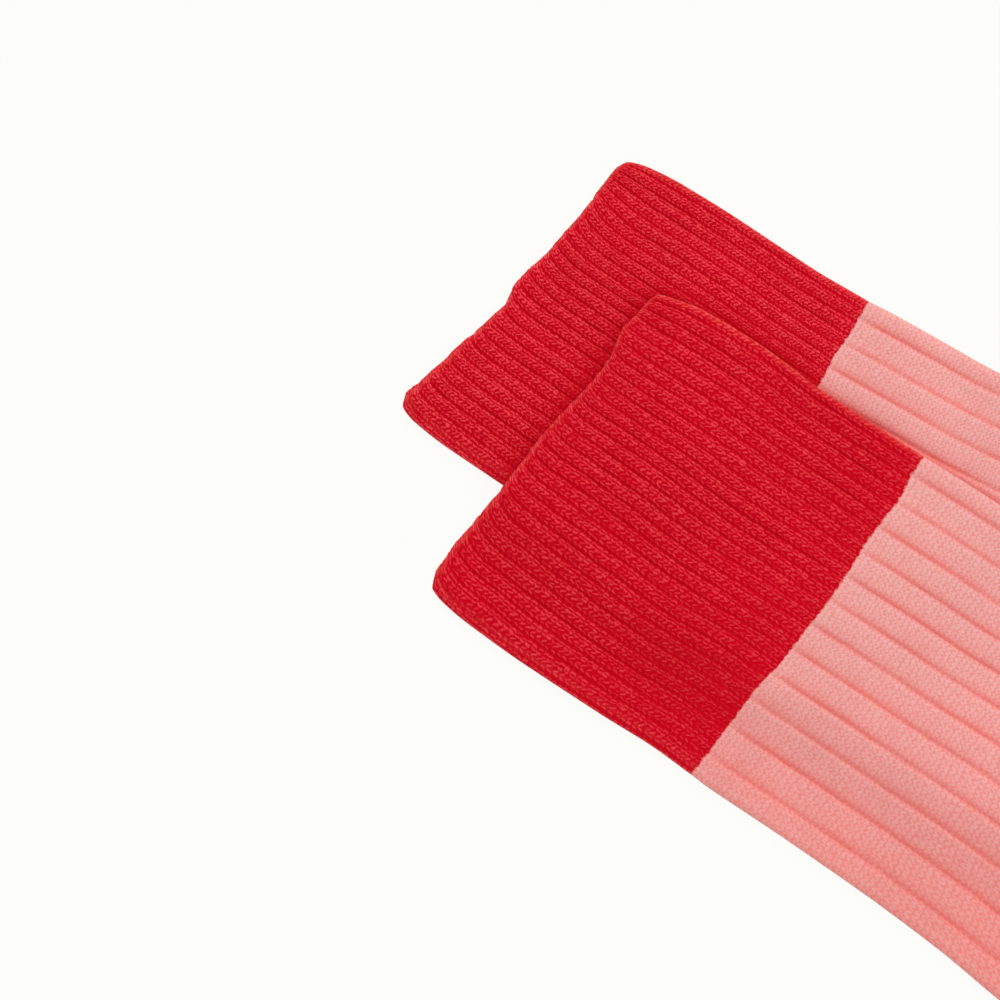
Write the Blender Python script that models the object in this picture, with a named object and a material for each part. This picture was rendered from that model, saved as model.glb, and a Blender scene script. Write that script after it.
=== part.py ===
"""A pair of ribbed crew socks, laid flat on their sides, the front sock partly over the back one.

The tables and named sizes are in millimetres and the meshes in metres. +X runs down the legs from the cuffs
to the heels, +Y points to the instep side, and +Z up from the surface that the pair rests on.
"""

from collections import namedtuple
from math import cos, hypot, pi, radians, sin

import bmesh
import bpy
import numpy as np

MM = 0.001
COLLECTION = "ribbed_sock_pair"

# One sock lies two walls thick, with a rounded fold along each side
FLAT_HEIGHT = 4.0
FOLD_RADIUS = FLAT_HEIGHT / 2

# Shares of the width, from either side: a point halfway round a fold, the nearest place for a point of the
# ribs, and where the under layer rests flat
FOLD_POINT = 0.0065
RIBS_FROM = 0.012
FLAT_FROM = 0.028

# The front sock climbs from the surface onto the back one along a soft ramp
LAYER_GAP = 0.5
RAMP = 16.0

# Sizes of the two knits: the wall under the hollow, the hollow's flat gap, and the creases between ribs
Knit = namedtuple("Knit", "wall gap crease_depth ribs phase profile")

# A rib, from one crease to the next: how far along it, and the share of the crease's depth there
RibPoint = namedtuple("RibPoint", "along depth")
NARROW_RIB = (RibPoint(0.0, 1.0), RibPoint(0.2, 0.2), RibPoint(0.5, 0.0), RibPoint(0.8, 0.2))
BROAD_RIB = (
    RibPoint(0.0, 1.0),
    RibPoint(0.12, 0.35),
    RibPoint(0.35, 0.03),
    RibPoint(0.65, 0.03),
    RibPoint(0.88, 0.35),
)
CUFF_KNIT = Knit(wall=1.5, gap=0.6, crease_depth=0.5, ribs=24, phase=0.0, profile=NARROW_RIB)
LEG_KNIT = Knit(wall=1.3, gap=0.6, crease_depth=0.7, ribs=12, phase=0.5, profile=BROAD_RIB)

# The ribs lie a little closer on the instep side, by up to this share of the width, and they fade out
# over this share of it where plain knit begins
RIB_CROWDING = 0.037
RIB_FADE = 0.06

# Half of the gap between a cuff and its leg at the change of yarn
SEAM_HALF_GAP = 0.15

# A section is a line across the flat sock, from its instep side to its heel or sole side. top is the share
# of the upper wall's thickness there, ribbed the share of the width, from the instep side, with ribs, and
# bow how far the line's middle lies down the leg from a straight one.
Section = namedtuple("Section", "instep_x instep_y heel_x heel_y top ribbed bow", defaults=(0.0,))

# Cuff sections, from the opening to the change of yarn, about the middle of the change of yarn
FRONT_CUFF = (
    Section(-71.7, 41.5, -78.3, -39.6, 0.35, 1.0, 0.5),
    Section(-70.6, 43.5, -76.6, -43.3, 0.85, 1.0, 0.4),
    Section(-66.7, 44.8, -72.0, -44.7, 1.0, 1.0, 0.2),
    Section(-59.5, 46.3, -65.0, -45.5, 1.0, 1.0),
    Section(-44.0, 46.9, -48.0, -46.1, 1.0, 1.0),
    Section(-25.0, 45.9, -28.0, -46.0, 1.0, 1.0),
    Section(2.1, 46.1, -2.0, -46.1, 1.0, 1.0),
)
BACK_CUFF = (
    Section(-66.1, 40.8, -82.9, -29.7, 0.35, 1.0, 1.3),
    Section(-64.4, 43.1, -81.8, -32.8, 0.85, 1.0, 1.2),
    Section(-59.2, 44.6, -77.5, -34.5, 1.0, 1.0, 1.0),
    Section(-50.6, 45.1, -68.0, -35.9, 1.0, 1.0, 0.5),
    Section(-34.6, 44.5, -48.1, -37.4, 1.0, 1.0),
    Section(-15.7, 43.2, -25.2, -39.9, 1.0, 1.0),
    Section(1.95, 42.87, -1.86, -42.87, 1.0, 1.0),
)

# Leg and heel sections, from the change of yarn to the start of the foot, about the same point
LEG = (
    Section(2.1, 46.1, -2.0, -46.1, 1.0, 1.0),
    Section(25.0, 46.7, 22.0, -46.5, 1.0, 1.0),
    Section(46.0, 47.8, 46.0, -47.0, 1.0, 1.0),
    Section(55.0, 48.9, 68.0, -48.2, 1.0, 1.0),
    Section(62.4, 50.9, 88.0, -50.4, 1.0, 1.0),
    Section(68.5, 53.7, 106.0, -51.9, 1.0, 0.75),
    Section(73.9, 56.9, 121.0, -51.6, 1.0, 0.5),
    Section(78.6, 60.7, 132.0, -49.3, 1.0, 0.5),
    Section(82.4, 64.4, 141.0, -44.9, 1.0, 0.5),
    Section(85.8, 68.6, 148.3, -37.8, 1.0, 0.5),
    Section(88.6, 72.9, 153.8, -28.5, 1.0, 0.5),
    Section(91.0, 77.7, 157.8, -17.0, 1.0, 0.5),
)

# Foot sections to the end of the toe. Here x runs along the foot and y from the sole to the instep.
FOOT_TURN = 76.0
FOOT = (
    Section(105.0, -70.3, 48.0, -158.2, 1.0, 0.5),
    Section(116.0, -70.3, 77.0, -158.5, 1.0, 0.5),
    Section(130.0, -70.3, 106.0, -158.3, 1.0, 0.5),
    Section(146.0, -70.3, 135.0, -158.0, 1.0, 0.5),
    Section(160.0, -70.5, 157.0, -157.8, 1.0, 0.5),
    Section(172.0, -71.2, 171.0, -157.0, 1.0, 0.2),
    Section(182.0, -73.3, 182.0, -155.0, 1.0, -0.1),
    Section(190.5, -77.0, 190.5, -151.5, 1.0, -0.1),
    Section(198.0, -82.3, 198.0, -146.3, 1.0, -0.1),
    Section(204.0, -88.8, 204.0, -139.8, 1.0, -0.1),
    Section(208.5, -96.0, 208.5, -132.6, 0.95, -0.1),
    Section(211.3, -103.0, 211.3, -125.6, 0.75, -0.1),
    Section(212.8, -108.3, 212.8, -120.3, 0.35, -0.1),
)

# Where each sock's change of yarn lies, how far the sock is turned, and how large its leg lies
Placement = namedtuple("Placement", "x y turn leg_scale")
PAIR_CENTRE = (118.59, 92.92)
FRONT = Placement(75.0 - PAIR_CENTRE[0], 17.1 - PAIR_CENTRE[1], 0.0, 1.0)
BACK = Placement(48.5 - PAIR_CENTRE[0], 43.7 - PAIR_CENTRE[1], 3.8, 0.93)

# Points across the under layer, with more where it climbs onto the other sock
UNDER_POINTS_FRONT = 27
UNDER_POINTS_BACK = 9

# Each hollow is plainer than the outside: it follows every third cuff section and every second leg section
CUFF_HOLLOW_STEP = 3
LEG_HOLLOW_STEP = 2

# Base colour, roughness
RED_YARN = ((0.58, 0.009, 0.02), 0.85)
PINK_YARN = ((0.83, 0.31, 0.28), 0.85)


def turned(x, y, degrees):
    angle = radians(degrees)
    return x * cos(angle) - y * sin(angle), x * sin(angle) + y * cos(angle)


def moved(section, turn, scale=1.0, x=0.0, y=0.0):
    """The section scaled, turned about the origin and then moved."""
    instep = turned(section.instep_x * scale, section.instep_y * scale, turn)
    heel = turned(section.heel_x * scale, section.heel_y * scale, turn)
    return section._replace(
        instep_x=instep[0] + x, instep_y=instep[1] + y, heel_x=heel[0] + x, heel_y=heel[1] + y
    )


def parted(section, distance):
    return section._replace(instep_x=section.instep_x + distance, heel_x=section.heel_x + distance)


def laid_sections(cuff, place):
    """The sections of one sock's cuff, and those of its leg and foot, where the sock lies."""
    leg = [*LEG, *(moved(section, FOOT_TURN) for section in FOOT)]
    leg = [moved(section, 0.0, place.leg_scale) for section in leg]
    cuff = [*cuff[:-1], parted(cuff[-1], -SEAM_HALF_GAP)]
    leg[0] = parted(leg[0], SEAM_HALF_GAP)
    return (
        [moved(section, place.turn, x=place.x, y=place.y) for section in cuff],
        [moved(section, place.turn, x=place.x, y=place.y) for section in leg],
    )


def ring_layout(knit, under_points):
    """Points round the flat tube: their share of the width, layer (1 upper, -1 under), and crease depth."""
    upper = []
    for rib in range(-1, knit.ribs + 1):
        for point in knit.profile:
            across = (rib + knit.phase + point.along) / knit.ribs
            if RIBS_FROM < across < 1 - RIBS_FROM:
                upper.append((across, 1, point.depth))
    instep_fold = [(0.0, 1, 0.0), (FOLD_POINT, 1, 0.0)]
    heel_fold = [(1 - FOLD_POINT, 1, 0.0), (1.0, 1, 0.0), (1 - FOLD_POINT, -1, 0.0)]
    under = [(a, -1, 0.0) for a in np.linspace(1 - FLAT_FROM, FLAT_FROM, under_points)]
    return np.array([*instep_fold, *upper, *heel_fold, *under, (FOLD_POINT, -1, 0.0)])


def rounded(distance, radius):
    """0 at a fold's edge, 1 where the fold has reached its full height."""
    return np.sqrt(1 - (1 - np.minimum(distance, radius) / radius) ** 2)


def section_width(section):
    return hypot(section.heel_x - section.instep_x, section.heel_y - section.instep_y)


def on_section(section, distance):
    """Plan points on the section's line, or its bowed curve, at distances from its instep side."""
    start = np.array((section.instep_x, section.instep_y))
    across = (np.array((section.heel_x, section.heel_y)) - start) / section_width(section)
    down_leg = np.array((-across[1], across[0]))
    share = distance / section_width(section)
    return start + np.outer(distance, across) + np.outer(4 * section.bow * share * (1 - share), down_leg)


def outer_ring(section, knit, layout):
    width = section_width(section)
    share, layer, crease = layout.T
    across = (share - RIB_CROWDING * np.sin(pi * share**2)) * width
    fold = rounded(np.minimum(across, width - across), FOLD_RADIUS)
    hollow_top = knit.wall + knit.gap
    top = hollow_top + (FLAT_HEIGHT - hollow_top) * section.top
    ribbed = np.clip((section.ribbed - share) / RIB_FADE + 0.5, 0, 1)
    height = FOLD_RADIUS + np.where(layer > 0, top - FOLD_RADIUS, -FOLD_RADIUS) * fold
    height -= knit.crease_depth * crease * ribbed * fold
    return np.column_stack((on_section(section, across), height))


def inner_ring(section, knit, layout):
    hollow_width = section_width(section) - 2 * knit.wall
    share, layer, _ = layout.T
    across = (share - RIB_CROWDING * np.sin(pi * share**2)) * hollow_width
    fold = rounded(np.minimum(across, hollow_width - across), knit.gap / 2)
    height = knit.wall + knit.gap / 2 * (1 + layer * fold)
    return np.column_stack((on_section(section, across + knit.wall), height))


def outline(sections):
    """The sock's plan outline, down its instep side and back up its heel side."""
    instep = [(section.instep_x, section.instep_y) for section in sections]
    heel = [(section.heel_x, section.heel_y) for section in reversed(sections)]
    return np.array(instep + heel)


def depth_inside(points, corners):
    """Distance from each point to the outline, positive inside it and negative outside."""
    nearest = np.full(len(points), np.inf)
    inside = np.zeros(len(points), dtype=bool)
    x, y = points.T
    for start, end in zip(corners, np.roll(corners, -1, axis=0)):
        edge = end - start
        share = np.clip((points - start) @ edge / (edge @ edge), 0, 1)
        nearest = np.minimum(nearest, np.linalg.norm(points - start - np.outer(share, edge), axis=1))
        if start[1] != end[1]:
            crosses = (start[1] > y) != (end[1] > y)
            inside ^= crosses & (x < start[0] + (y - start[1]) * edge[0] / edge[1])
    return np.where(inside, nearest, -nearest)


def lifted(ring, corners):
    """The ring raised to lie over a sock whose outline is given."""
    climb = np.clip(1 + depth_inside(ring[:, :2], corners) / RAMP, 0, 1)
    raised = ring.copy()
    raised[:, 2] += (FLAT_HEIGHT + LAYER_GAP) * climb**2 * (3 - 2 * climb)
    return raised


def join_rings(mesh, rings):
    """Rows of faces between rings of the same number of points."""
    for first, second in zip(rings, rings[1:]):
        count = len(first)
        for i in range(count):
            j = (i + 1) % count
            mesh.faces.new((first[i], first[j], second[j], second[i]))


def wall_object(name, outer, inner, toe_closed, material, collection):
    """One closed wall. outer and inner are rings in millimetres, each from the opening to the far end."""
    mesh = bmesh.new()
    outer = [[mesh.verts.new(point * MM) for point in ring] for ring in outer]
    inner = [[mesh.verts.new(point * MM) for point in ring] for ring in inner]
    if toe_closed:
        join_rings(mesh, [*reversed(outer), *inner])
        mesh.faces.new(outer[-1])
        mesh.faces.new(inner[-1])
    else:
        join_rings(mesh, [inner[0], *outer, *reversed(inner)])
    bmesh.ops.recalc_face_normals(mesh, faces=mesh.faces)
    data = bpy.data.meshes.new(name)
    mesh.to_mesh(data)
    mesh.free()
    data.materials.append(material)
    data.shade_smooth()
    data.set_sharp_from_angle(angle=radians(50))
    piece = bpy.data.objects.new(name, data)
    collection.objects.link(piece)
    return piece


def yarn_material(name, base_colour, roughness):
    material = bpy.data.materials.new(name)
    material.use_nodes = True
    surface = material.node_tree.nodes["Principled BSDF"]
    surface.inputs["Base Color"].default_value = (*base_colour, 1.0)
    surface.inputs["Roughness"].default_value = roughness
    surface.inputs["Metallic"].default_value = 0.0
    return material


def hollow_sections(sections, step, toe_closed):
    """The sections that shape the hollow, which ends a wall's thickness short of a closed toe."""
    last = len(sections) - (2 if toe_closed else 1)
    return [*sections[0:last:step], sections[last]]


def rings_of(sections, hollow, knit, under_points, corners):
    """The outer and inner rings of a wall, raised over the outline of the sock below, if there is one."""
    layout = ring_layout(knit, under_points)
    outer = [outer_ring(section, knit, layout) for section in sections]
    inner = [inner_ring(section, knit, layout) for section in hollow]
    if corners is None:
        return outer, inner
    return [lifted(ring, corners) for ring in outer], [lifted(ring, corners) for ring in inner]


def build_sock(prefix, cuff, leg, under_points, corners, red, pink, collection):
    """A cuff and a leg with its foot. corners is the outline of the sock below, or None."""
    hollow = hollow_sections(cuff, CUFF_HOLLOW_STEP, False)
    outer, inner = rings_of(cuff, hollow, CUFF_KNIT, under_points, corners)
    wall_object(prefix + "_cuff", outer, inner, False, red, collection)
    hollow = hollow_sections(leg, LEG_HOLLOW_STEP, True)
    outer, inner = rings_of(leg, hollow, LEG_KNIT, under_points, corners)
    wall_object(prefix + "_leg", outer, inner, True, pink, collection)


def clear_scene():
    for item in list(bpy.context.scene.objects):
        bpy.data.objects.remove(item, do_unlink=True)


def build_pair():
    clear_scene()
    collection = bpy.data.collections.new(COLLECTION)
    bpy.context.scene.collection.children.link(collection)
    red = yarn_material("red_yarn", *RED_YARN)
    pink = yarn_material("pink_yarn", *PINK_YARN)
    back_cuff, back_leg = laid_sections(BACK_CUFF, BACK)
    front_cuff, front_leg = laid_sections(FRONT_CUFF, FRONT)
    corners = outline(back_cuff + back_leg)
    build_sock("back", back_cuff, back_leg, UNDER_POINTS_BACK, None, red, pink, collection)
    build_sock("front", front_cuff, front_leg, UNDER_POINTS_FRONT, corners, red, pink, collection)


build_pair()
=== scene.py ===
"""The looks of a pair of ribbed crew socks with red cuffs and pink legs, laid flat, one partly on the other.

The tables and named sizes are in millimetres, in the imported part's frame, and the meshes are made in metres.
A sock's wales are its columns of stitches and its courses the rows round it.
"""

from collections import namedtuple
from math import cos, pi, radians, sin

import bmesh
import bpy
import numpy as np
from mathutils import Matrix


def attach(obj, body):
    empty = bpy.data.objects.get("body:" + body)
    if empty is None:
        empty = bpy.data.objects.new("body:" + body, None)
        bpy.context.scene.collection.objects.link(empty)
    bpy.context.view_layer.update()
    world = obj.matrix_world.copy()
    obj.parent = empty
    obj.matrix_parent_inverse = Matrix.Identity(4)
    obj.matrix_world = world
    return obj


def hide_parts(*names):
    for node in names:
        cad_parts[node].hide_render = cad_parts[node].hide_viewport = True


MM = 0.001

# One sock lies two walls thick, with a rounded fold along each side and a low crown between the folds
FOLD_RADIUS = 2.0
FOLD_TOP = 3.6
CROWN = 0.9
UNDER_WALL = 1.4
HOLLOW_GAP = 0.6
HOLLOW_TOP = UNDER_WALL + HOLLOW_GAP

# The front sock climbs from the surface onto the back one along a soft ramp
LIFT = 4.65
RAMP = 19.0

# The rounded lip at the opening, and where its nose lies between the inner side and the outer one
LIP_LENGTH = 2.2
INNER_LIP_LENGTH = 1.2
NOSE_RISE = 0.4
NOSE_REACH = 0.85

# The rounded end of the toe, outside and inside, and where the last rows inside lie before it
TOE_ROUND = 2.4
INNER_TOE_ROUND = 0.6
INNER_TOE_GAPS = (1.0, 0.3, 0.0)

# Near the opening the ribs keep the spacing of this section, and only the folds draw in to the corners
GUIDE_SECTION = 3
CORNER_DRAW = 6

# Stitches round one layer. The ribs fade out over this share of the width where plain knit begins.
LAYER_WALES = 72
RIB_FADE = 0.06

# Ribs: wales from crease to crease, the wale of the first crease, and the crease's depth. On a crease's heel
# side a rib rises steeply, within half_width wales. It comes down slowly to the next crease, over slope
# wales, and sharpness is the share of the depth that is left to the narrow crease.
Ribs = namedtuple("Ribs", "wales first depth half_width sharpness slope")
NARROW_RIBS = Ribs(wales=3, first=0, depth=0.42, half_width=0.24, sharpness=0.8, slope=0.6)
BROAD_RIBS = Ribs(wales=6, first=2, depth=0.85, half_width=0.5, sharpness=0.3, slope=1.9)

# Half the width in wales of a crease's painted dark line of shade
CREASE_LINE = 0.2

# Between these distances past the change of yarn the narrow ribs end, and the broad ones start
NARROW_END = (1.0, -9.0)
BROAD_START = (-3.0, 5.0)

# How much fainter the narrow creases are near the change of yarn at the heel side, and where that sets in
# along the sock and across it
NARROW_FADE = 0.6
FADE_ALONG = (-40.0, -2.0)
FADE_ACROSS = (0.55, 0.85)

# The share of the width by which a stitch lies further from the instep side than even spacing would put it
Drift = namedtuple("Drift", "share opening cuff leg")
RIB_DRIFT = (
    Drift(0.00, 0.029, 0.027, 0.030), Drift(0.03, 0.027, 0.027, 0.029),
    Drift(0.11, 0.020, 0.022, 0.025), Drift(0.19, 0.018, 0.016, 0.020),
    Drift(0.26, 0.010, 0.010, 0.013), Drift(0.34, -0.002, 0.003, 0.002),
    Drift(0.41, -0.015, -0.007, -0.008), Drift(0.49, -0.022, -0.012, -0.016),
    Drift(0.57, -0.027, -0.016, -0.021), Drift(0.65, -0.027, -0.017, -0.024),
    Drift(0.73, -0.026, -0.017, -0.025), Drift(0.81, -0.028, -0.018, -0.022),
    Drift(0.90, -0.027, -0.018, -0.016), Drift(1.00, -0.018, -0.009, -0.008),
)

# Where the table's three columns hold, past the change of yarn
DRIFT_OPENING = -66.0
DRIFT_CUFF = -30.0
DRIFT_LEG = 8.0

# Shallow grooves stand for the ribs on the side that the sock lies on
UNDER_GROOVE = 0.3

# What shows of a stitch: where its strand of yarn crosses the repeat, in wales, how far it leans to the heel
# side in one course, how far its ends turn that way, its half width in wales and half length in courses,
# where it starts in courses, and how high it stands
Strand = namedtuple("Strand", "centre lean turn half_width half_length start loft")
CUFF_STRANDS = (
    Strand(0.37, -0.08, 0.2, 0.24, 0.52, 0.0, 1.0),
    Strand(1.10, 0.08, -0.2, 0.27, 0.52, 0.1, 1.0),
    Strand(1.74, -0.62, 0.0, 0.26, 0.44, 0.45, 0.95),
    Strand(2.46, 0.3, 0.1, 0.21, 0.48, 0.3, 0.9),
    Strand(-0.04, 0.0, 0.0, 0.3, 0.14, 0.2, 0.4),
)
LEG_STRANDS = (
    Strand(-0.25, -0.42, 0.0, 0.27, 0.49, 0.0, 1.0),
    Strand(0.25, 0.42, 0.0, 0.27, 0.49, 0.0, 1.0),
)

# How high a full strand stands in the mesh, and at what share of that the wall's surface lies
CUFF_STRAND_HEIGHT = 0.12
CUFF_STRAND_LEVEL = 0.4
LEG_STRAND_HEIGHT = 0.08
LEG_STRAND_LEVEL = 0.7

# A section is a line across the flat sock, from its instep side to its heel or sole side. top is the share
# of the upper wall's thickness there, ribbed the share of the width with ribs, from the instep side, and bow
# how far the line's middle lies down the leg from a straight one. Below 0, ribbed leaves the line all plain.
Section = namedtuple("Section", "instep_x instep_y heel_x heel_y top ribbed bow", defaults=(1.0, 1.0, 0.0))

# Cuff sections, from the opening to the change of yarn, about the middle of the change of yarn
FRONT_CUFF = (
    Section(-71.7, 41.5, -78.3, -39.6, bow=0.5),
    Section(-70.6, 43.5, -76.6, -43.3, bow=0.4),
    Section(-66.7, 44.8, -72.0, -44.7, bow=0.2),
    Section(-59.5, 46.3, -65.0, -45.5),
    Section(-44.0, 46.9, -48.0, -46.1),
    Section(-25.0, 45.9, -28.0, -46.0),
    Section(-12.0, 46.0, -14.0, -45.6),
    Section(2.1, 46.1, -2.0, -46.1),
)
BACK_CUFF = (
    Section(-66.1, 41.1, -82.9, -29.7, bow=1.3),
    Section(-64.4, 43.4, -81.8, -32.8, bow=1.2),
    Section(-59.2, 44.7, -77.5, -34.5, bow=1.0),
    Section(-50.6, 45.1, -68.0, -35.9, bow=0.5),
    Section(-34.6, 44.5, -48.1, -37.4),
    Section(-15.7, 43.2, -25.2, -39.9),
    Section(1.95, 42.87, -1.86, -42.87),
)

# Leg and heel sections, from the change of yarn to the start of the foot, about the same point
LEG = (
    Section(2.1, 46.1, -2.0, -46.1),
    Section(9.0, 46.4, 4.0, -46.45),
    Section(25.0, 46.6, 22.0, -46.5),
    Section(34.0, 46.6, 33.0, -46.7),
    Section(46.0, 47.4, 46.0, -47.0),
    Section(55.0, 48.9, 68.0, -48.2),
    Section(62.4, 50.9, 88.0, -50.4),
    Section(68.5, 53.7, 106.0, -51.9, ribbed=0.75),
    Section(73.9, 56.9, 121.0, -51.6, ribbed=0.5),
    Section(78.6, 60.7, 132.0, -49.3, ribbed=0.5),
    Section(82.4, 64.4, 141.0, -44.9, ribbed=0.5),
    Section(85.8, 68.6, 148.3, -37.8, ribbed=0.5),
    Section(88.6, 72.9, 153.8, -28.5, ribbed=0.5),
    Section(91.0, 77.7, 157.8, -17.0, ribbed=0.5),
)

# Foot sections to the end of the toe. Here x runs along the foot and y from the sole to the instep.
FOOT_TURN = 76.0
FOOT = (
    Section(105.0, -70.3, 48.0, -158.2, ribbed=0.5),
    Section(116.0, -70.3, 77.0, -158.5, ribbed=0.5),
    Section(130.0, -70.3, 106.0, -158.3, ribbed=0.5),
    Section(146.0, -70.3, 135.0, -158.0, ribbed=0.5),
    Section(160.0, -70.5, 157.0, -157.8, ribbed=0.5),
    Section(172.0, -71.2, 171.0, -157.0, ribbed=0.2),
    Section(182.0, -73.3, 182.0, -155.0, ribbed=-0.1),
    Section(190.5, -77.0, 190.5, -151.5, ribbed=-0.1),
    Section(198.0, -82.3, 198.0, -146.3, ribbed=-0.1),
    Section(204.0, -88.8, 204.0, -139.8, ribbed=-0.1),
    Section(208.5, -96.0, 208.5, -132.6, top=0.95, ribbed=-0.1),
    Section(211.3, -103.0, 211.3, -125.6, top=0.75, ribbed=-0.1),
    Section(212.8, -108.3, 212.8, -120.3, top=0.35, ribbed=-0.1),
)

# How far an edge wanders down the leg from its section's line, by share of the width from the instep side
At = namedtuple("At", "share offset")
FRONT_OPENING = (
    At(0.0, 0.1), At(0.08, -0.25), At(0.15, -0.85), At(0.22, 0.5), At(0.29, 1.0),
    At(0.38, 0.2), At(0.52, -0.65), At(0.7, -0.35), At(0.86, -0.6), At(1.0, 0.1),
)
BACK_OPENING = (
    At(0.0, 0.0), At(0.1, 0.0), At(0.2, 0.5), At(0.38, 0.4), At(0.46, -0.15),
    At(0.515, 0.15), At(0.535, 0.95), At(0.56, 1.35), At(0.65, 1.1), At(0.75, 0.5),
    At(0.88, 0.35), At(0.95, 0.0), At(1.0, 0.1),
)
FRONT_CHANGE = (
    At(0.0, 0.0), At(0.05, 0.2), At(0.13, 1.2), At(0.24, 0.9), At(0.41, 1.85),
    At(0.55, 1.5), At(0.65, 1.2), At(0.71, 0.3), At(0.85, 0.2), At(1.0, 0.0),
)
BACK_CHANGE = (
    At(0.0, -1.3), At(0.1, -0.95), At(0.17, -1.2), At(0.25, -0.7), At(0.5, 0.3),
    At(0.75, 0.2), At(1.0, 0.0),
)

# How far the ribs lean to the instep side at the opening, by share of the width, and how soon that fades
FRONT_LEAN = (
    At(0.0, 0.0), At(0.1, 0.9), At(0.3, 1.9), At(0.5, 1.9), At(0.6, 2.4), At(0.72, 4.0),
    At(0.82, 3.4), At(0.92, 2.8), At(1.0, 1.5),
)
BACK_LEAN = (
    At(0.0, 1.0), At(0.1, 2.7), At(0.2, 4.6), At(0.3, 3.6), At(0.45, 3.1), At(0.6, 2.2),
    At(0.75, 2.1), At(0.9, 1.8), At(1.0, 1.0),
)
LEAN_REACH = 4.9

# How far from the opening and from the change of yarn their wander is felt
OPENING_REACH = 14.0
CHANGE_REACH = 22.0

# How far the opening's edge draws in at a crease between its ribs, at what share of a crease it stays in
# place, and how far from the edge that is felt
SCALLOP = 0.2
SCALLOP_LEVEL = 0.3
EDGE_REACH = 5.0

# Slow unevenness: the seed of its random draws, its size in wales and in millimetres, and its amount, in
# wales, courses, shares of a crease's depth and painted shade, and in millimetres at the opening
Swell = namedtuple("Swell", "seed wales length amount")
SIDE_SWAY = Swell(3, 2.5, 7.0, 0.22)
COURSE_SWAY = Swell(4, 3.0, 4.0, 0.3)
DEPTH_SWELL = Swell(5, 3.0, 22.0, 0.4)
SHADE_SWELL = Swell(6, 3.0, 12.0, 0.35)
EDGE_SWAY = Swell(11, 1.5, 1.0, 0.22)

# Between these distances from a fold and from the change of yarn the sway sets in
OFF_FOLD = (1.0, 4.0)
OFF_CHANGE = (0.5, 4.0)

# The share of their depth that creases keep at the lip, and how far in they have all of it
LIP_CREASES = 0.4
LIP_CREASE_REACH = 4.0

# Columns of the mesh to a wale above, wales to a column below, courses to a row outside and millimetres to a
# row inside. Past the lip the first row inside follows at LIP_GAP.
Fineness = namedtuple("Fineness", "upper under row inner_row")
LEG_MESH = Fineness(upper=4, under=1.5, row=1.15, inner_row=8.0)
LIP_GAP = 1.0

# A soft trough runs beside the instep fold: its depth, and where it starts, is deepest, rises and has ended
TROUGH_DEPTH = 0.4
TROUGH_START = 2.5
TROUGH_BOTTOM = 9.0
TROUGH_RISE = 9.5
TROUGH_END = 12.5

# The trough swells about this share of its depth, by how much, over what length, and where it ends on the leg
TROUGH_SHARE = 0.9
TROUGH_SWELL = 0.5
TROUGH_SWELL_LENGTH = 25.0
LEG_TROUGH_END = (70.0, 110.0)

# Soft creases in the upper side: both ends, half width and depth, and the power that tapers them to the ends
CREASE_TAPER = 0.7
Crease = namedtuple("Crease", "x1 y1 x2 y2 half_width depth")
FRONT_CREASES = (
    Crease(18.0, -5.0, 52.0, -26.0, 5.5, 0.25),
    Crease(30.0, -12.0, 74.0, -62.0, 7.5, 0.3),
    Crease(38.0, -2.0, 92.0, -30.0, 6.0, 0.2),
    Crease(-93.0, -90.0, -48.0, -102.0, 5.0, 0.12),
)
BACK_CREASES = (
    Crease(2.0, 30.0, 34.0, 8.0, 5.0, 0.35),
    Crease(12.0, 22.0, 60.0, -20.0, 6.0, 0.4),
    Crease(-130.0, -10.0, -95.0, -12.0, 4.0, 0.15),
)

# Where the heel's line and the toe's seam lie along the leg, and where the sole's side starts across it
HEEL_LINE = 128.0
TOE_SEAM_FROM_END = 17.0
SOLE_START = (0.47, 0.53)
LINE_HALF_WIDTH = 1.1
LINE_DEPTH = 0.35
TOE_SEAM_HEIGHT = 0.45

# Painted highlight bands where the folds and the lip catch the light: how strong they are, and between which
# distances from a fold or the lip they fade out
Band = namedtuple("Band", "strength start end")
INSTEP_HIGHLIGHT = Band(0.65, 0.4, 1.4)
INSTEP_EDGE_HIGHLIGHT = Band(0.35, 0.0, 0.5)
HEEL_HIGHLIGHT = Band(0.6, 0.1, 0.7)
LIP_HIGHLIGHT = Band(0.8, 0.4, 1.4)

# A painted highlight streak lies beside the heel fold
HEEL_HIGHLIGHT_STREAK = 0.35
STREAK_PLACE = 2.3
STREAK_HALF_WIDTH = 0.6

# The share of the painted highlight that is left on average, how much that varies, and its swells to a
# millimetre
HIGHLIGHT_SHARE = 0.75
HIGHLIGHT_UNEVENNESS = 0.8
HIGHLIGHT_GRAIN = 1.3
HIGHLIGHT_SEED = 9

# The photograph's view: the width it covers, where its middle lies, its turn, and the camera's height
VIEW_WIDTH = 234.4
VIEW_CENTRE = (-118.59, -92.92)
VIEW_TURN = 33.5
CAMERA_HEIGHT = 3000.0
SENSOR = 36.0

# The soft box, with its distance and size in metres and the share of the way to the view's middle that it
# aims at, and the even light on the pair and behind it
KEY_DISTANCE = 3.0
KEY_SIZE = 1.6
KEY_RISE = 42.0
KEY_POWER = 32.0
KEY_AIM = 0.6
SKY = 0.87
BACKDROP = 0.97
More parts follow.
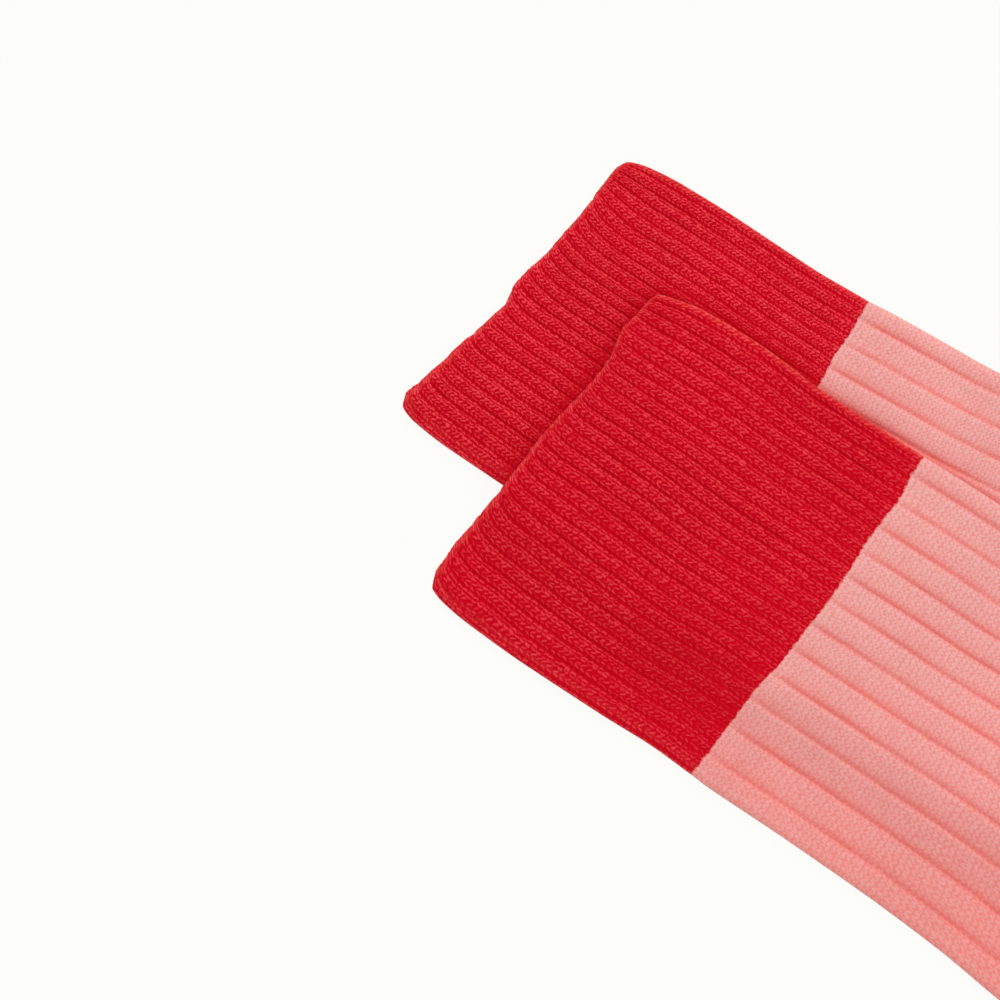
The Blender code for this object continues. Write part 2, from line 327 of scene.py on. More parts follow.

# Yarn colours, most with painted light in them: painted shade in the gaps between stitches, the yarn's own
# colour on a stitch, a painted highlight on its crest, painted shade down in a crease between ribs, a painted
# highlight where the folds and the lip catch the light, and the tint of the real sheen
YARN_AND_LIGHT_TONES = ("Gap", "Body", "Crest", "Crease", "Rubbed")
Yarn = namedtuple("Yarn", "gap body crest crease rubbed sheen")
RED_YARN = Yarn(
    gap=(0.48, 0.0004, 0.009),
    body=(0.615, 0.004, 0.021),
    crest=(0.80, 0.051, 0.068),
    crease=(0.55, 0.0003, 0.009),
    rubbed=(0.79, 0.100, 0.088),
    sheen=(1.0, 0.2, 0.2),
)
PINK_YARN = Yarn(
    gap=(0.762, 0.275, 0.258),
    body=(0.80, 0.352, 0.333),
    crest=(0.825, 0.410, 0.390),
    crease=(0.80, 0.165, 0.140),
    rubbed=(0.79, 0.390, 0.370),
    sheen=(1.0, 0.75, 0.72),
)

# How much painted shade deepens the front sock's colour, by distance from the change of yarn, at the instep
# side, at a third and two thirds of the width, near the heel side and at it
Tone = namedtuple("Tone", "from_change instep third two_thirds near_heel heel")
SHADE_SHARES = (0.0, 0.35, 0.62, 0.85, 1.0)
FRONT_CUFF_SHADE = (
    Tone(-80.0, 0.44, 0.38, 0.42, 0.50, 0.48),
    Tone(-45.0, 0.30, 0.27, 0.43, 0.38, 0.42),
    Tone(-25.0, 0.38, 0.34, 0.56, 0.72, 0.60),
    Tone(0.0, 0.65, 0.56, 0.78, 0.93, 0.52),
)
FRONT_LEG_SHADE = (
    Tone(0.0, 0.0, 0.0, 0.08, 0.28, 0.42),
    Tone(45.0, 0.02, 0.06, 0.2, 0.36, 0.48),
    Tone(80.0, 0.06, 0.12, 0.3, 0.55, 0.58),
    Tone(420.0, 0.1, 0.15, 0.2, 0.3, 0.3),
)

# Painted shadow on the cloth beside the sock that lies on it: how deep, and how far on the cuff and on the leg
COVER_SHADOW = 0.9
CUFF_SHADOW_REACH = 2.4
LEG_SHADOW_REACH = 1.3

# The share of a crease's painted shade that shows above on average, and the shares of painted shade and of
# painted highlight on the underside
UPPER_SHADE = 0.8
UNDER_SHADE = 0.8
UNDER_HIGHLIGHT = 0.4

# How far strands stray together, how far chance moves one lengthways and sideways, both in stitches, and how
# much it changes its width and its height about the mean height
STRAY = 0.6
STRAND_SLIP = 0.22
STRAND_STEP = 0.2
WIDTH_CHANCE = 0.5
LOFT_CHANCE = 0.6
MEAN_LOFT = 0.85

# The heights on a strand between which the painted shade of the gap goes over into the body's colour, the
# body's into the painted highlight of the crest, and a crease's painted shade into what a crest keeps. The
# painted highlight along the folds and the lip grows with the height.
BODY_HEIGHTS = (0.0, 0.4)
LIT_CREST_HEIGHTS = (0.18, 0.9)
CREASE_SHADE_HEIGHTS = (0.1, 0.9)
LEAST_HIGHLIGHT = 0.3
HIGHLIGHT_GROWTH = 0.75

# How a knit is drawn: its strands and their repeat, how uneven and fuzzy they are, how much painted shade its
# creases get, the share of its colour that a crest keeps against that shade, and the strength of its relief
Knit = namedtuple("Knit", "strands repeat repeat_start unevenness fuzz crease_share crest_keeps bump")
CUFF_KNIT = Knit(
    CUFF_STRANDS, NARROW_RIBS.wales, repeat_start=-0.3,
    unevenness=1.1, fuzz=0.85, crease_share=1.0, crest_keeps=0.4, bump=0.4,
)
LEG_KNIT = Knit(
    LEG_STRANDS, repeat=1, repeat_start=-0.5,
    unevenness=1.1, fuzz=0.65, crease_share=0.87, crest_keeps=0.15, bump=0.25,
)

# What the socks differ in. x and y are where the middle of the change of yarn lies, turn is how far the sock
# is turned, and leg_scale how large its leg lies. The courses are the lengths of one course of stitches.
Sock = namedtuple(
    "Sock",
    "name x y turn leg_scale cuff cuff_mesh cuff_course leg_course opening change lean creases"
    " cuff_tone leg_tone",
)
FRONT_SOCK = Sock(
    "front", 75.0 + VIEW_CENTRE[0], 17.1 + VIEW_CENTRE[1], turn=0.0, leg_scale=1.0,
    cuff=FRONT_CUFF, cuff_mesh=Fineness(upper=5, under=1.2, row=0.25, inner_row=4.0),
    cuff_course=1.55, leg_course=1.36, opening=FRONT_OPENING, change=FRONT_CHANGE, lean=FRONT_LEAN,
    creases=FRONT_CREASES, cuff_tone=FRONT_CUFF_SHADE, leg_tone=FRONT_LEG_SHADE,
)
BACK_SOCK = Sock(
    "back", 48.5 + VIEW_CENTRE[0], 43.7 + VIEW_CENTRE[1], turn=3.8, leg_scale=0.93,
    cuff=BACK_CUFF, cuff_mesh=Fineness(upper=4, under=1.5, row=0.25, inner_row=4.0),
    cuff_course=1.22, leg_course=1.17, opening=BACK_OPENING, change=BACK_CHANGE, lean=BACK_LEAN,
    creases=BACK_CREASES, cuff_tone=None, leg_tone=None,
)

# How a sock lies: the outline of the sock under it, that of the sock on it, and its tables of painted shade
# and lean
Laid = namedtuple("Laid", "below above tones lean")


def turned(x, y, degrees):
    angle = radians(degrees)
    return x * cos(angle) - y * sin(angle), x * sin(angle) + y * cos(angle)


def moved(section, turn, scale=1.0, x=0.0, y=0.0):
    """The section scaled, turned about the origin and then moved."""
    instep = turned(section.instep_x * scale, section.instep_y * scale, turn)
    heel = turned(section.heel_x * scale, section.heel_y * scale, turn)
    return section._replace(
        instep_x=instep[0] + x, instep_y=instep[1] + y, heel_x=heel[0] + x, heel_y=heel[1] + y
    )


def laid_sections(sock):
    """The sections of the sock's cuff, and those of its leg and foot, where the sock lies."""
    leg = [*LEG, *(moved(section, FOOT_TURN) for section in FOOT)]
    leg = [moved(section, 0.0, sock.leg_scale) for section in leg]
    return [
        [moved(section, sock.turn, x=sock.x, y=sock.y) for section in sections]
        for sections in (sock.cuff, leg)
    ]


def lengths_along(sections):
    """How far each section's middle lies from the first one's."""
    table = np.array(sections)
    middles = (table[:, 0:2] + table[:, 2:4]) / 2
    steps = np.linalg.norm(np.diff(middles, axis=0), axis=1)
    return np.concatenate(([0.0], np.cumsum(steps)))


def smoothly(table, at, wanted):
    """Rows of the table between those given, on smooth curves through them."""
    steps = np.diff(at)[:, None]
    slopes = np.diff(table, axis=0) / steps
    before, after = slopes[:-1], slopes[1:]
    same_way = before * after > 0
    meeting = np.where(same_way, before + after, 1.0)
    inner = np.where(same_way, 2 * before * after / meeting, 0.0)
    tangents = np.vstack((slopes[:1], inner, slopes[-1:]))
    place = np.clip(np.searchsorted(at, wanted, side="right") - 1, 0, len(at) - 2)
    step = steps[place]
    t = ((wanted - at[place])[:, None]) / step
    return (
        (2 * t**3 - 3 * t**2 + 1) * table[place]
        + (t**3 - 2 * t**2 + t) * step * tangents[place]
        + (3 * t**2 - 2 * t**3) * table[place + 1]
        + (t**3 - t**2) * step * tangents[place + 1]
    )


def smoothstep(start, end, value):
    t = np.clip((value - start) / (end - start), 0, 1)
    return t * t * (3 - 2 * t)


def uneven(seed, x, y):
    """Unevenness between -1 and 1, the same on each run, with a swell or so to each unit of x and y."""
    size = 64
    swells = np.random.default_rng(seed).uniform(-1, 1, (size, size))
    x, y = np.broadcast_arrays(x, y)
    column, row = np.floor(x).astype(int), np.floor(y).astype(int)
    right, up = smoothstep(0, 1, x - column), smoothstep(0, 1, y - row)
    near, far = (
        swells[line % size, column % size] * (1 - right) + swells[line % size, (column + 1) % size] * right
        for line in (row, row + 1)
    )
    return near * (1 - up) + far * up


def swell(kind, wale, along):
    return kind.amount * uneven(kind.seed, wale / kind.wales, along / kind.length)


def wales_at(share, from_change):
    """The wale at each share of the width, as the ribs drift along the sock."""
    table = np.array(RIB_DRIFT)
    opening, cuff, leg = (smoothly(table[:, [k]], table[:, 0], share)[:, 0][None, :] for k in (1, 2, 3))
    to_cuff = smoothstep(DRIFT_OPENING, DRIFT_CUFF, from_change)
    to_leg = smoothstep(DRIFT_CUFF, DRIFT_LEG, from_change)
    drift = opening + (cuff - opening) * to_cuff + (leg - cuff) * to_leg
    return LAYER_WALES * (share[None, :] - drift)


def wander(table, share):
    """A smooth curve through the table, at shares of the width."""
    rows = np.array(table)
    return smoothly(rows[:, 1:], rows[:, 0], np.clip(share, 0, 1).ravel())[:, 0].reshape(share.shape)


def bell(offset, half_width):
    return np.exp(-((offset / half_width) ** 2))


def rounded(distance, radius):
    """0 at a fold's edge, 1 where the fold has reached its full height."""
    return np.sqrt(1 - (1 - np.clip(distance, 0, radius) / radius) ** 2)


def outline(cuff, leg):
    """The sock's plan outline, down its instep side and back up its heel side."""
    sections = [*cuff[:-1], *leg]
    instep = [(section.instep_x, section.instep_y) for section in sections]
    heel = [(section.heel_x, section.heel_y) for section in reversed(sections)]
    return np.array(instep + heel)


def depth_inside(points, corners):
    """Distance from each point to the outline, positive inside it and negative outside."""
    nearest = np.full(len(points), np.inf)
    inside = np.zeros(len(points), dtype=bool)
    x, y = points.T
    for start, end in zip(corners, np.roll(corners, -1, axis=0)):
        edge = end - start
        share = np.clip((points - start) @ edge / (edge @ edge), 0, 1)
        nearest = np.minimum(nearest, np.linalg.norm(points - start - np.outer(share, edge), axis=1))
        if start[1] != end[1]:
            crosses = (start[1] > y) != (end[1] > y)
            inside ^= crosses & (x < start[0] + (y - start[1]) * edge[0] / edge[1])
    return np.where(inside, nearest, -nearest)


def columns_round(fineness, width):
    """Shares of the width round the tube, from the instep fold over the top and back below, with layers."""
    round_fold = FOLD_RADIUS * (1 - np.cos(np.radians((0, 15, 30, 45, 60, 75)))) / width
    first, last = FOLD_RADIUS / width, 1 - FOLD_RADIUS / width
    wales = (last - first) * LAYER_WALES
    upper = np.linspace(first, last, round(wales * fineness.upper) + 1)
    under = np.linspace(last, first, round(wales / fineness.under) + 1)
    share = np.concatenate(
        (round_fold, upper, 1 - round_fold[::-1], 1 - round_fold[1:], under, round_fold[::-1])
    )
    above = len(round_fold) * 2 + len(upper)
    layer = np.where(np.arange(len(share)) < above, 1, -1)
    return share, layer


def rib_creases(wale, from_change):
    """The depth of the creases, and their painted shade from 0 to 1: a dark line in each crease and shade on
    the slow slope down into the next.
    """
    depth, painted_shade = 0.0, 0.0
    faint = NARROW_FADE * smoothstep(*FADE_ALONG, from_change) * smoothstep(*FADE_ACROSS, wale / LAYER_WALES)
    narrow_share = smoothstep(*NARROW_END, from_change) * (1 - faint)
    broad_share = smoothstep(*BROAD_START, from_change)
    for ribs, present in ((NARROW_RIBS, narrow_share), (BROAD_RIBS, broad_share)):
        # Places just past a crease, and just ahead of the next one
        past = np.mod(wale - ribs.first, ribs.wales)
        ahead = ribs.wales - past
        slope = np.exp(-ahead / ribs.slope)
        fall = ribs.sharpness * bell(ahead, ribs.half_width) + (1 - ribs.sharpness) * slope
        depth = depth + present * ribs.depth * np.maximum(bell(past, ribs.half_width), fall)
        # Painted shade: darkest just ahead of a crease, on the slow slope that faces away from the soft box,
        # with a painted dark line in the crease itself
        shade = 0.5 * bell(ahead, 0.5 * ribs.slope) + 0.5 * slope
        painted_shade = painted_shade + present * np.maximum(shade, bell(past, CREASE_LINE))
    return depth, np.clip(painted_shade, 0, 1)


def strand_height(wale, course, knit):
    """How high the strands of the stitches stand, from 0 to 1."""
    across = wale - knit.repeat * np.floor((wale - knit.repeat_start) / knit.repeat)
    height = np.zeros(np.broadcast(wale, course).shape)
    for strand in knit.strands:
        run = course + strand.start
        run = run - np.floor(run) - 0.5
        line = strand.centre + strand.lean * run + strand.turn * 4 * run**2
        body = np.clip(1 - ((across - line) / strand.half_width) ** 2, 0, None)
        ends = np.clip(1 - (run / strand.half_length) ** 4, 0, None)
        height = np.maximum(height, strand.loft * body * ends)
    return height


def trough_beside_fold(distance, along, seed):
    wave = TROUGH_SHARE + TROUGH_SWELL * uneven(seed, along / TROUGH_SWELL_LENGTH, 0.5)
    down = smoothstep(TROUGH_START, TROUGH_BOTTOM, distance)
    back = smoothstep(TROUGH_RISE, TROUGH_END, distance)
    return TROUGH_DEPTH * wave * down * (1 - back)


def soft_creases(plan, creases):
    """How deep the listed creases are at each place. A crease ends in nothing at both ends."""
    depth = np.zeros(plan.shape[:-1])
    for crease in creases:
        start = np.array((crease.x1, crease.y1))
        run = np.array((crease.x2, crease.y2)) - start
        share = (plan - start) @ run / (run @ run)
        beside = np.linalg.norm(plan - start - np.clip(share, 0, 1)[..., None] * run, axis=-1)
        fade = np.sin(pi * np.clip(share, 0, 1)) ** CREASE_TAPER
        depth += crease.depth * fade * bell(beside, crease.half_width)
    return depth


class Shell:
    """Places and marks for one closed wall of knit, as rows along the sock by columns round it."""

    def __init__(
        self, sections, fineness, course, outer_rows, inner_rows, inner_first, guide_end=0.0, guide_width=0.0
    ):
        self.course = course
        rows = [(s, 0) for s in outer_rows]
        inside = [(s, 1) for s in reversed(inner_rows)]
        rows = inside + rows if inner_first else rows + inside
        self.along = np.array([s for s, _ in rows])
        self.inner = np.array([skin for _, skin in rows], dtype=bool)
        table = smoothly(np.array(sections), lengths_along(sections), self.along)
        self.instep, self.heel = table[:, 0:2], table[:, 2:4]
        self.top, self.ribbed, self.bow = table[:, 4].clip(0, 1), table[:, 5], table[:, 6]
        self.width = np.linalg.norm(self.heel - self.instep, axis=1)
        self.guide = np.where(self.along < guide_end, np.maximum(self.width, guide_width), self.width)
        self.share, self.layer = columns_round(fineness, self.width.max())


def plan_places(shell, inset, shift):
    """Plan places of the rows by columns. inset narrows the tube, and shift moves places down the leg."""
    across = (shell.heel - shell.instep) / shell.width[:, None]
    down = np.stack((-across[:, 1], across[:, 0]), axis=-1)[:, None, :]
    side = 2 * shell.share[None, :] - 1
    half, guide = shell.width[:, None] / 2, shell.guide[:, None] / 2
    reach = guide * side - (guide - half) * np.sign(side) * np.abs(side) ** CORNER_DRAW
    distance = inset + (reach / half + 1) * (half - inset)
    share = distance / shell.width[:, None]
    offset = 4 * shell.bow[:, None] * share * (1 - share) + shift
    plan = shell.instep[:, None, :] + distance[..., None] * across[:, None, :] + offset[..., None] * down
    return plan, distance


def build_shell(name, shell, edge_shift, change_at, relief, knit, laid, toe_end, material):
    """Makes the closed mesh of one wall. edge_shift and relief are functions of the rows and columns."""
    along = shell.along[:, None]
    change = along - change_at
    wale = wales_at(shell.share, change)
    upper = shell.layer[None, :] > 0
    width = shell.width[:, None]
    if laid.lean is not None:
        lean = wander(laid.lean, shell.share)[None, :] * np.exp(-along / LEAN_REACH)
        wale = wale + LAYER_WALES * lean / width
    creases, painted_shade = rib_creases(wale, change)
    shift = edge_shift(np.broadcast_to(shell.share[None, :], wale.shape), along, painted_shade)
    outer, distance = plan_places(shell, 0.0, shift)
    inner, _ = plan_places(shell, UNDER_WALL, shift)
    edge_distance = np.minimum(distance, width - distance)
    fold = rounded(edge_distance, FOLD_RADIUS)
    off_fold = smoothstep(*OFF_FOLD, edge_distance)

    over = 2 * distance / width - 1
    crown = FOLD_TOP + CROWN * (1 - over**2)
    top = HOLLOW_TOP + (crown - HOLLOW_TOP) * shell.top[:, None]
    wale_map = wale + swell(SIDE_SWAY, wale, along) * off_fold
    course = change / shell.course
    course = course + swell(COURSE_SWAY, wale, along) * smoothstep(*OFF_CHANGE, np.abs(change))
    ribbed = np.clip((shell.ribbed[:, None] - shell.share[None, :]) / RIB_FADE + 0.5, 0, 1)
    depth = 1 + swell(DEPTH_SWELL, wale, along)
    if toe_end is None:
        depth = depth * (LIP_CREASES + (1 - LIP_CREASES) * smoothstep(0, LIP_CREASE_REACH, along))
    creases = creases * ribbed * depth
    # Painted shade in the creases, a little uneven from place to place
    painted_shade = painted_shade * ribbed * (UPPER_SHADE + swell(SHADE_SWELL, wale, along)).clip(0, 1)
    # Painted shade, deeper by place on the front sock
    if laid.tones is not None:
        painted_shade = painted_shade + painted_shade_at(laid.tones, change, shell.share) * (1 - painted_shade)
    # Painted shadow beside the sock that lies on this one
    if laid.above is not None:
        beside = -depth_inside(outer.reshape(-1, 2), laid.above).reshape(painted_shade.shape)
        reach = CUFF_SHADOW_REACH if toe_end is None else LEG_SHADOW_REACH
        cover_shadow = COVER_SHADOW * bell(np.clip(beside, 0, None), reach) * upper
        painted_shade = painted_shade + cover_shadow * (1 - painted_shade)
    added = relief(outer, distance, along, strand_height(wale_map, course, knit))
    height = FOLD_RADIUS + np.where(
        upper,
        (top - FOLD_RADIUS - creases + added) * fold,
        -FOLD_RADIUS * fold + UNDER_GROOVE * creases * off_fold,
    )
    hollow_fold = rounded(np.minimum(shell.share, 1 - shell.share)[None, :] * width, HOLLOW_GAP / 2)
    inner_height = UNDER_WALL + HOLLOW_GAP / 2 * (1 + shell.layer[None, :] * hollow_fold)
    outside = np.dstack((outer, height))
    inside = np.dstack((inner, np.broadcast_to(inner_height, height.shape)))

    if toe_end is None:
        part = np.array((NOSE_REACH, NOSE_REACH, NOSE_RISE))
        nose = part * outside + (1 - part) * inside
        outside = nose + (outside - nose) * rounded(along, LIP_LENGTH)[..., None]
        inside = nose + (inside - nose) * rounded(along, INNER_LIP_LENGTH)[..., None]
    else:
        middle = UNDER_WALL + HOLLOW_GAP / 2
        for skin, radius, end in (
            (outside, TOE_ROUND, toe_end), (inside, INNER_TOE_ROUND, toe_end - UNDER_WALL)
        ):
            skin[..., 2] = middle + (skin[..., 2] - middle) * rounded(end - along, radius)
    places = np.where(shell.inner[:, None, None], inside, outside)
    if toe_end is not None:
        close_toe(places, shell)
    if laid.below is not None:
        flat = places.reshape(-1, 3)
        climb = np.clip(1 + depth_inside(flat[:, :2], laid.below) / RAMP, 0, 1)
        flat[:, 2] += LIFT * climb**2 * (3 - 2 * climb)
    wale_round = np.where(upper, wale_map, 2 * LAYER_WALES - wale_map)
    outer_only = np.where(shell.inner[:, None], 0.0, 1.0)
    marks = {
        # Painted shade, weaker on the underside
        "crease": outer_only * painted_shade * np.where(upper, 1, UNDER_SHADE),
        # Painted highlight where the folds and the lip catch the light
        "rubbed": outer_only * highlight_places(distance, width - distance, along, upper, toe_end is None),
    }
    return knit_object(name, shell, places, wale_round, course, marks, material)


def painted_shade_at(tones, from_change, share):
    """The painted shade at each distance from the change of yarn and share of the width."""
    rows = np.array(tones)
    across = smoothly(rows[:, 1:], rows[:, 0], np.clip(from_change[:, 0], rows[0, 0], rows[-1, 0]))
    return smoothly(across.T, np.array(SHADE_SHARES), share).T


def fading(band, distance):
    return band.strength * (1 - smoothstep(band.start, band.end, distance))


def highlight_places(instep_distance, heel_distance, along, upper, has_lip):
    """Painted highlight: dull, fuzzy, lighter bands along the instep fold, beside the heel fold and round the
    opening's lip.
    """
    instep = fading(INSTEP_HIGHLIGHT, instep_distance) + fading(INSTEP_EDGE_HIGHLIGHT, instep_distance)
    streak = HEEL_HIGHLIGHT_STREAK * bell(heel_distance - STREAK_PLACE, STREAK_HALF_WIDTH)
    heel = fading(HEEL_HIGHLIGHT, heel_distance) + streak
    lip = fading(LIP_HIGHLIGHT, along) if has_lip else 0.0
    grain = uneven(HIGHLIGHT_SEED, along * HIGHLIGHT_GRAIN, instep_distance * HIGHLIGHT_GRAIN)
    broken = (HIGHLIGHT_SHARE + HIGHLIGHT_UNEVENNESS * grain).clip(0, 1)
    return np.maximum(np.maximum(instep, heel), lip) * broken * np.where(upper, 1, UNDER_HIGHLIGHT)


def close_toe(places, shell):
    """Brings the columns of both end rows to shared points, so that the toe closes."""
    below = np.flatnonzero(shell.layer < 0)
    coarse = np.unique(np.round(shell.share[below], 6))
    nearest = coarse[np.argmin(np.abs(shell.share[:, None] - coarse[None, :]), axis=1)]
    for row in (0, len(places) - 1):
        for value in coarse:
            same = nearest == value
            source = below[np.argmin(np.abs(shell.share[below] - value))]
            places[row, same] = places[row, source]


def placed(name, data):
    """A new object of the scene that shows the data."""
    thing = bpy.data.objects.new(name, data)
    bpy.context.scene.collection.objects.link(thing)
    return thing


def knit_object(name, shell, places, wale, course, marks, material):
    """The mesh of a wall: a grid that is bent round, with its matching edges merged."""
    rows, columns = places.shape[:2]
    grid = bmesh.new()
    bmesh.ops.create_grid(grid, x_segments=columns - 1, y_segments=rows - 1, size=1.0)
    data = bpy.data.meshes.new(name)
    grid.to_mesh(data)
    grid.free()
    flat = np.empty(len(data.vertices) * 3, np.float32)
    data.vertices.foreach_get("co", flat)
    flat = flat.reshape(-1, 3)
    column, row = (
        np.rint((flat[:, k] + 1) / 2 * (count - 1)).astype(int) for k, count in enumerate((columns, rows))
    )
    data.vertices.foreach_set("co", (places[row, column] * MM).astype(np.float32).ravel())
    corner = np.empty(len(data.loops), np.int32)
    data.loops.foreach_get("vertex_index", corner)
    stitches = np.stack((wale[row, column], np.broadcast_to(course, wale.shape)[row, column]), axis=-1)
    chart = np.stack(bake_chart(places, shell, row, column), axis=-1)
    for title, values in (("stitches", stitches), ("OFBake", chart)):
        layer = data.uv_layers.new(name=title)
        layer.uv.foreach_set("vector", values[corner].astype(np.float32).ravel())
    for title, values in marks.items():
        attribute = data.attributes.new(title, "FLOAT", "POINT")
        attribute.data.foreach_set("value", values[row, column].astype(np.float32))
    closed = bmesh.new()
    closed.from_mesh(data)
    bmesh.ops.remove_doubles(closed, verts=closed.verts, dist=0.002 * MM)
    bmesh.ops.dissolve_degenerate(closed, edges=closed.edges, dist=0.001 * MM)
    bmesh.ops.recalc_face_normals(closed, faces=closed.faces)
    closed.to_mesh(data)
    closed.free()
    data.materials.append(material)
    data.shade_smooth()
    data.set_sharp_from_angle(angle=radians(70))
    piece = placed(name, data)
    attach(piece, "root")
    return piece


def bake_chart(places, shell, row, column):
    """A flat chart of the whole wall, with most of its room for the outer side."""
    under_share, inner_share, least_step, margin = 0.5, 0.08, 0.001, 0.004
    round_line, down_line = places[places.shape[0] // 2], places[:, places.shape[1] // 4]
    across = np.where(shell.layer[1:] > 0, 1.0, under_share)
    down = np.where(shell.inner[1:] | shell.inner[:-1], inner_share, 1.0)
    charted = []
    for line, weight in ((round_line, across), (down_line, down)):
        steps = np.linalg.norm(np.diff(line, axis=0), axis=1) * weight + least_step
        reached = np.concatenate(([0.0], np.cumsum(steps)))
        charted.append(margin + (1 - 2 * margin) * reached / reached[-1])
    return charted[0][column], charted[1][row]


def guide_of(sections):
    """Where along the cuff the folds stop drawing in to the corners, and the width there."""
    section = sections[GUIDE_SECTION]
    width = np.hypot(section.heel_x - section.instep_x, section.heel_y - section.instep_y)
    return lengths_along(sections)[GUIDE_SECTION], width


def even_rows(start, end, step):
    return list(np.linspace(start, end, max(2, round((end - start) / step) + 1)))


def build_cuff(sock, sections, laid, material):
    """The red cuff. Its first rows follow the rounded lip from its nose, a little closer than it turns."""
    length = lengths_along(sections)[-1]
    fineness = sock.cuff_mesh
    lip = [LIP_LENGTH * (1 - cos(angle)) for angle in np.radians((0, 12, 24, 36, 48))]
    step = fineness.row * sock.cuff_course
    rows = lip + even_rows(lip[-1] + step, length, step)
    inner_rows = lip[:-1] + even_rows(lip[-1] + LIP_GAP, length, fineness.inner_row)
    shell = Shell(sections, fineness, sock.cuff_course, rows, inner_rows, False, *guide_of(sections))

    def edge_shift(share, along, painted_shade):
        near_opening = 1 - smoothstep(0, OPENING_REACH, along)
        near_change = 1 - smoothstep(0, CHANGE_REACH, length - along)
        stitches = SCALLOP * (painted_shade - SCALLOP_LEVEL) + swell(EDGE_SWAY, share * LAYER_WALES, 0.5)
        near_edge = 1 - smoothstep(0, EDGE_REACH, along)
        edges = wander(sock.opening, share) * near_opening + wander(sock.change, share) * near_change
        return edges + stitches * near_edge

    def relief(plan, distance, along, strand):
        stitches = CUFF_STRAND_HEIGHT * (strand - CUFF_STRAND_LEVEL)
        low = trough_beside_fold(distance, along, seed=7)
        return stitches - low - soft_creases(plan, sock.creases)

    name = f"{sock.name}_cuff_knit"
    return build_shell(name, shell, edge_shift, length, relief, CUFF_KNIT, laid, None, material)


def build_leg(sock, sections, laid, material):
    """The pink leg, heel and foot, to the closed toe."""
    length = lengths_along(sections)[-1]
    toe = [length - TOE_ROUND * (1 - cos(angle)) for angle in np.radians((80, 60, 40, 20, 0))]
    rows = even_rows(0.0, toe[0] - LEG_MESH.row, LEG_MESH.row * sock.leg_course) + toe
    last, *inner_toe = (length - UNDER_WALL - gap for gap in INNER_TOE_GAPS)
    inner_rows = even_rows(0.0, last, LEG_MESH.inner_row) + inner_toe
    shell = Shell(sections, LEG_MESH, sock.leg_course, rows, inner_rows, True)

    def edge_shift(share, along, painted_shade):
        return wander(sock.change, share) * (1 - smoothstep(0, CHANGE_REACH, along))

    def relief(plan, distance, along, strand):
        width = shell.width[:, None]
        sole = smoothstep(*SOLE_START, distance / width)
        heel = LINE_DEPTH * sole * bell(along - HEEL_LINE, LINE_HALF_WIDTH)
        toe = bell(along - length + TOE_SEAM_FROM_END, LINE_HALF_WIDTH) * (1 - sole)
        low = trough_beside_fold(distance, along, seed=8) * (1 - smoothstep(*LEG_TROUGH_END, along))
        stitches = LEG_STRAND_HEIGHT * (strand - LEG_STRAND_LEVEL)
        return stitches + TOE_SEAM_HEIGHT * toe - heel - low - soft_creases(plan, sock.creases)

    name = f"{sock.name}_leg_knit"
    return build_shell(name, shell, edge_shift, 0.0, relief, LEG_KNIT, laid, length, material)


def socket_name(field):
    return field.replace("_", " ").title()


def new_socket(tree, name, direction, kind="NodeSocketFloat"):
    tree.interface.new_socket(name=name, in_out=direction, socket_type=kind)


def fill(tree, node, inputs):
    """Sets or links a node's inputs, by name or number."""
    for title, value in inputs.items():
        if isinstance(value, bpy.types.NodeSocket):
            tree.links.new(value, node.inputs[title])
        else:
            node.inputs[title].default_value = value


def add_node(tree, kind, inputs=None, **settings):
    """A node with its settings, and its inputs set or linked."""
    node = tree.nodes.new(kind)
    for title, value in settings.items():
        setattr(node, title, value)
    fill(tree, node, inputs or {})
    return node


def new_material(name):
    """A material, its node tree and its shader."""
    material = bpy.data.materials.new(name)
    material.use_nodes = True
    return material, material.node_tree, material.node_tree.nodes["Principled BSDF"]


def math(tree, operation, *values):
    return add_node(tree, "ShaderNodeMath", dict(enumerate(values)), operation=operation).outputs[0]


def vector_math(tree, operation, first, second):
    return add_node(tree, "ShaderNodeVectorMath", {0: first, 1: second}, operation=operation).outputs[0]


def noise(tree, vector, scale, detail=3.0):
    return add_node(tree, "ShaderNodeTexNoise", {"Vector": vector, "Scale": scale, "Detail": detail}).outputs


def mix(tree, share, first, second):
    inputs = {"Factor": share, 6: first, 7: second}
    return add_node(tree, "ShaderNodeMix", inputs, data_type="RGBA").outputs[2]


def stretch(tree, value, low, high, to_low=0.0, to_high=1.0):
    """The value from low to high as one from to_low to to_high, and no further."""
    inputs = {0: value, 1: low, 2: high, 3: to_low, 4: to_high}
    return add_node(tree, "ShaderNodeMapRange", inputs).outputs[0]


